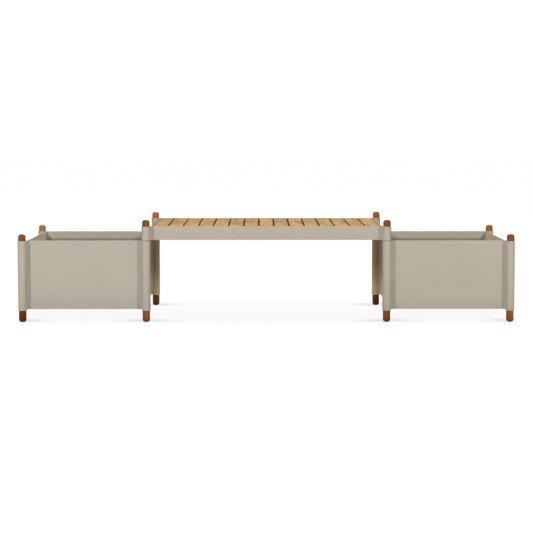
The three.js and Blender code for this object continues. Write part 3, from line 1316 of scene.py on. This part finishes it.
@dataclass
class SeatDeck:
    """The slats, what they lie on, and the screws that hold them from below."""

    finishes: Finishes
    slat_round: float = 2.4 * MM
    slat_segments: int = 4
    end_round: float = 1.2 * MM
    first_seed: float = 0.13
    darkest_tone: float = 0.91
    tone_spread: float = 0.1
    tone_start: float = 0.2
    tone_step: float = 0.382
    tone_rise: float = 0.05
    ledge_thickness: float = 4 * MM
    bearer_wall: float = 2.5 * MM
    metal_round: float = 0.6 * MM
    screw_radius: float = 4.2 * MM
    screw_height: float = 2.4 * MM
    screw_sides: int = 18
    screw_round: float = 1.08 * MM
    screw_segments: int = 3
    socket_rim: float = 0.9 * MM
    socket_depth: float = 1.52 * MM

    def build(self) -> None:
        """Models the slats, the ledges, the bearer and the screws."""
        self.plane_slats()
        self.roll_ledges()
        self.cut_bearer()
        self.drive_screws()

    def plane_slats(self) -> None:
        """Planes one slat and copies it along the seat."""
        nodes = nodes_named("seat_slat_")
        low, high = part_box(nodes[0])
        slat = Workpiece.block("pattern_slat", low, high)
        slat.pick(Element.EDGE, lambda at, run: abs(run.y) > (high.y - low.y) / 2)
        slat.bevel(self.slat_round, self.slat_segments)
        slat.ease_edges(self.end_round, over=SHARP_DEGREES)
        pattern = slat.finish()
        start = foot_of(nodes[0])
        for index, node in enumerate(nodes):
            moved = Matrix.Translation(foot_of(node) - start)
            piece = copy_piece(pattern, node.replace("seat_slat", "teak_slat"), moved)
            varied = self.tone_spread * ((index * self.tone_step + self.tone_start) % 1)
            lightness = self.darkest_tone + varied + self.tone_rise * index / (len(nodes) - 1)
            mark(piece, (self.first_seed + index * SEED_STEP) % 1, lightness, lightness)
            hand_over(piece, *self.finishes.slat_wood, "seat", node)
        bpy.data.objects.remove(pattern)

    def roll_ledges(self) -> None:
        """Shapes the angle under the front slat ends and turns a copy to the back."""
        low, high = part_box("seat_ledge_front")
        leg_top = high.z - self.ledge_thickness
        leg_back = low.y + self.ledge_thickness
        angle = Workpiece.block("pattern_ledge", low, (high.x, leg_back, leg_top))
        angle.pick(Element.FACE, lambda at, normal: normal.z > FACING)
        angle.extrude((0, 0, self.ledge_thickness))
        angle.pick(Element.FACE, lambda at, normal: normal.y > FACING and at.z > leg_top)
        angle.extrude((0, high.y - leg_back, 0))
        angle.ease_edges(self.metal_round)
        pattern = angle.finish()
        for row, turn in (("front", 0.0), ("back", math.pi)):
            piece = copy_piece(pattern, f"slat_ledge_{row}", Matrix.Rotation(turn, 4, "Z"))
            hand_over(piece, *self.finishes.support_coat, "seat", f"seat_ledge_{row}")
        bpy.data.objects.remove(pattern)

    def cut_bearer(self) -> None:
        """Cuts the square-cornered tube under the middle of the slats."""
        bearer = Workpiece.block("slat_bearer", *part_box("seat_bearer"))
        bearer.pick(Element.FACE, lambda at, normal: abs(normal.x) > FACING)
        bearer.delete_picked_faces()
        bearer.thicken(self.bearer_wall, -1)
        bearer.ease_edges(self.metal_round)
        hand_over(bearer.finish(), *self.finishes.support_coat, "seat", "seat_bearer")

    def drive_screws(self) -> None:
        """Puts a socket-head screw up through each support into each slat."""
        pattern = self.turn_screw()
        slats = [foot_of(node) for node in nodes_named("seat_slat_")]
        for node in ("seat_ledge_front", "seat_ledge_back", "seat_bearer"):
            low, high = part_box(node)
            ledge = "ledge" in node
            seat_at = high.z - self.ledge_thickness if ledge else low.z
            inner = self.ledge_thickness / 2 if ledge else 0.0
            y = (low.y + high.y) / 2 - math.copysign(inner, low.y + high.y)
            screws = [
                copy_piece(pattern, f"screw_{i}", Matrix.Translation((slat.x, y, seat_at)))
                for i, slat in enumerate(slats)
            ]
            row = join_pieces(screws, node.replace("seat_", "screws_"))
            hand_over(row, *self.finishes.steel, "seat")
        bpy.data.objects.remove(pattern)

    def turn_screw(self) -> bpy.types.Object:
        """Turns a low screw head that hangs below the origin.

        Returns:
            The pattern screw.
        """
        foot = (0, 0, -self.screw_height)
        head = Workpiece.rod("pattern_screw", foot, self.screw_radius, self.screw_height, self.screw_sides)
        near = MM / 10
        head.pick(Element.EDGE, lambda at, run: abs(run.z) < near and at.z < near - self.screw_height)
        head.bevel(self.screw_round, self.screw_segments)
        head.pick(Element.FACE, lambda at, normal: normal.z < -SQUARE_ON)
        head.inset(self.socket_rim)
        head.extrude((0, 0, self.socket_depth))
        return head.finish()


# Studio


def stand(data: bpy.types.ID, at: Sequence[float], turn: Sequence[float]) -> bpy.types.Object:
    """Puts a camera or a light into the scene.

    Args:
        data: The camera or the light.
        at: Where it stands.
        turn: How it is turned.

    Returns:
        Its object.
    """
    item = bpy.data.objects.new(data.name, data)
    bpy.context.scene.collection.objects.link(item)
    item.location = at
    item.rotation_euler = turn
    return item


@dataclass(frozen=True)
class SoftBox:
    """A square light, its power in watts."""

    name: str
    at: Point
    size: float
    power: float
    colour: Colour

    def hang(self, target: Point) -> None:
        """Hangs the box so that it faces a point.

        Args:
            target: The point.
        """
        data = bpy.data.lights.new(self.name, "AREA")
        data.shape = "SQUARE"
        data.size = self.size
        data.energy = self.power
        data.color = self.colour
        towards = Vector(target) - Vector(self.at)
        stand(data, self.at, towards.to_track_quat("-Z", "Y").to_euler())


@dataclass
class Studio:
    """The floor, the lights and the camera."""

    focal_px: float = 1315.6
    image_px: float = 533.0
    shift_px: float = -60.0
    sensor: float = 36.0
    camera_x: float = -0.0283
    camera_back: float = 6.190
    camera_z: float = 0.9314
    pitch_degrees: float = 3.55
    yaw_degrees: float = -0.263
    floor_width: float = 60.0
    floor_drop: float = 0.4 * MM
    floor_colour: Colour = (0.96, 0.93, 0.88)
    floor_seen: Colour = (0.03, 0.031, 0.035)
    floor_rough: float = 0.9
    floor_mirror: float = 0.1
    # Painted shadows in the floor's glow: a faint footprint under the object, rings about the feet and a
    # contact shade
    floor_glow: Span = (0.928, 0.99)
    floor_glow_fade: Point = (0.07, 0.26, 1.0)
    foot_shade: float = 0.235
    inner_foot_reach: Point = (0.27, 0.11, 1.0)
    outer_foot_reach: Point = (0.2, 0.11, 1.0)
    shade_drift: Point = (0.0, 0.038, 0.0)
    foot_shade_edge: float = 0.18
    contact_reach: float = 0.03
    contact_share: float = 0.18
    contact_samples: int = 8
    sky: float = 0.06
    backdrop: float = 1.05
    lit_point: Point = (0.0, 0.0, 0.25)
    boxes: tuple[SoftBox, ...] = (
        SoftBox("front_box_left", (-4.0, -5.8, 4.3), 1.0, 250.0, (0.975, 0.985, 1.08)),
        SoftBox("front_box_right", (4.0, -5.8, 4.3), 1.0, 219.0, (0.99, 1.0, 1.0)),
        SoftBox("top_box", (0.0, 2.6, 5.2), 2.6, 258.0, (1.10, 1.0, 0.74)),
    )

    def build(self) -> None:
        """Sets up everything that isn't part of the object."""
        settings = bpy.context.scene.view_settings
        settings.view_transform = "Standard"
        settings.look = "None"
        self.set_camera()
        self.lay_floor()
        self.light_sky()
        for box in self.boxes:
            box.hang(self.lit_point)

    def set_camera(self) -> None:
        """Stands the camera where the photograph was taken from."""
        data = bpy.data.cameras.new("camera")
        data.sensor_width = self.sensor
        data.lens = self.focal_px / self.image_px * self.sensor
        data.shift_y = self.shift_px / self.image_px
        row_y = foot_of("post_left_outer_front").y
        tilt = math.radians(90 - self.pitch_degrees)
        at = (self.camera_x, row_y - self.camera_back, self.camera_z)
        bpy.context.scene.camera = stand(data, at, (tilt, 0, math.radians(self.yaw_degrees)))

    def lay_floor(self) -> None:
        """Lays the pale floor, lifted to white for the camera alone, with painted shadows under the object
        and a painted contact shade about the feet.
        """
        put_tools_down()
        bpy.ops.mesh.primitive_plane_add(size=self.floor_width, location=(0, 0, -self.floor_drop))
        floor = bpy.context.object
        floor.name = "studio_floor"
        bpy.ops.object.transform_apply(location=True, rotation=True, scale=True)
        wires = MaterialWiring("pale_floor")
        seen = wires.add("LightPath").outputs["Is Camera Ray"]
        colour = wires.tint(seen, self.floor_colour, self.floor_seen)
        matt = {"Roughness": self.floor_rough, "Specular IOR Level": self.floor_mirror}
        floor.data.materials.append(wires.finish({"Base Color": colour} | matt))
        lift = wires.sum("MULTIPLY", *self.shade_floor(wires))
        # Painted contact shade from ambient occlusion, in the glow the camera sees
        near = wires.add("AmbientOcclusion", {"Distance": self.contact_reach}, samples=self.contact_samples)
        touched = wires.add("MapRange", {0: near.outputs["AO"], 3: 1 - self.contact_share, 4: 1.0})
        shown = wires.sum("MULTIPLY", seen, wires.sum("MULTIPLY", lift, touched.outputs[0]))
        glow = wires.add("Emission", {"Strength": shown})
        both = wires.add("AddShader", {0: wires.shader.outputs[0], 1: glow.outputs[0]})
        wires.feed(wires.tree.nodes["Material Output"], {"Surface": both.outputs[0]})
        floor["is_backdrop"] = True

    def shade_floor(self, wires: MaterialWiring) -> tuple[bpy.types.NodeSocket, bpy.types.NodeSocket]:
        """Shades the floor faintly under the object and softly about its feet.

        Args:
            wires: The wiring of the floor's material.

        Returns:
            The brightness of the footprint and that of the rings about the feet.
        """
        drifted = wires.vector("SUBTRACT", wires.place, self.shade_drift)
        mirrored = wires.vector("ABSOLUTE", drifted)
        feet = [foot_of(f"post_right_{place}_back") for place in ("inner", "outer")]
        gaps = [wires.vector("SUBTRACT", mirrored, (foot.x, foot.y, 0)) for foot in feet]
        beyond = wires.vector("MAXIMUM", gaps[1], (0, 0, 0))
        away = wires.length_in(beyond, self.floor_glow_fade)
        under = wires.span(away, 0, 1, (1.0, 0.0))
        footprint = wires.span(wires.sum("MULTIPLY", under, under), 1, 0, self.floor_glow)
        rings = [
            wires.span(wires.length_in(gap, reach), 0, 1, (1.0, 0.0))
            for gap, reach in zip(gaps, (self.inner_foot_reach, self.outer_foot_reach))
        ]
        ring = wires.sum("MAXIMUM", *rings)
        ring = wires.sum("MULTIPLY", ring, ring)
        ring = wires.sum("MULTIPLY", ring, wires.span(away, 0, self.foot_shade_edge, (1.0, 0.0)))
        return footprint, wires.sum("SUBTRACT", 1.0, wires.sum("MULTIPLY", ring, self.foot_shade))

    def light_sky(self) -> None:
        """Gives an even fill, with a white backdrop for the camera alone."""
        world = bpy.data.worlds.new("studio")
        world.use_nodes = True
        bpy.context.scene.world = world
        wires = Wiring(world.node_tree)
        seen = wires.add("LightPath").outputs["Is Camera Ray"]
        strength = wires.add("MapRange", {0: seen, 3: self.sky, 4: self.backdrop}).outputs[0]
        wires.feed(world.node_tree.nodes["Background"], {"Strength": strength, "Color": (1, 1, 1, 1)})


def main() -> None:
    """Builds the studio and every sub-assembly."""
    logging.basicConfig(level=logging.INFO, format="%(name)s: %(message)s")
    Studio().build()
    finishes = Finishes()
    Posts(finishes).build()
    CornerTubes(finishes).build()
    sheets = FoldedSheets(finishes)
    sheets.build("planter_panel_", "planter_wall_", 3 * MM, "base")
    sheets.build("seat_rail_", "seat_frame_rail_", 5 * MM, "seat")
    PlanterFittings(finishes).build()
    SeatDeck(finishes).build()
    put_tools_down()
    boxes = {"cad": CAD_BOX, "visual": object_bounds()}
    {key: [list(corner) for corner in box] for key, box in boxes.items()}


if __name__ == "__main__":
    main()
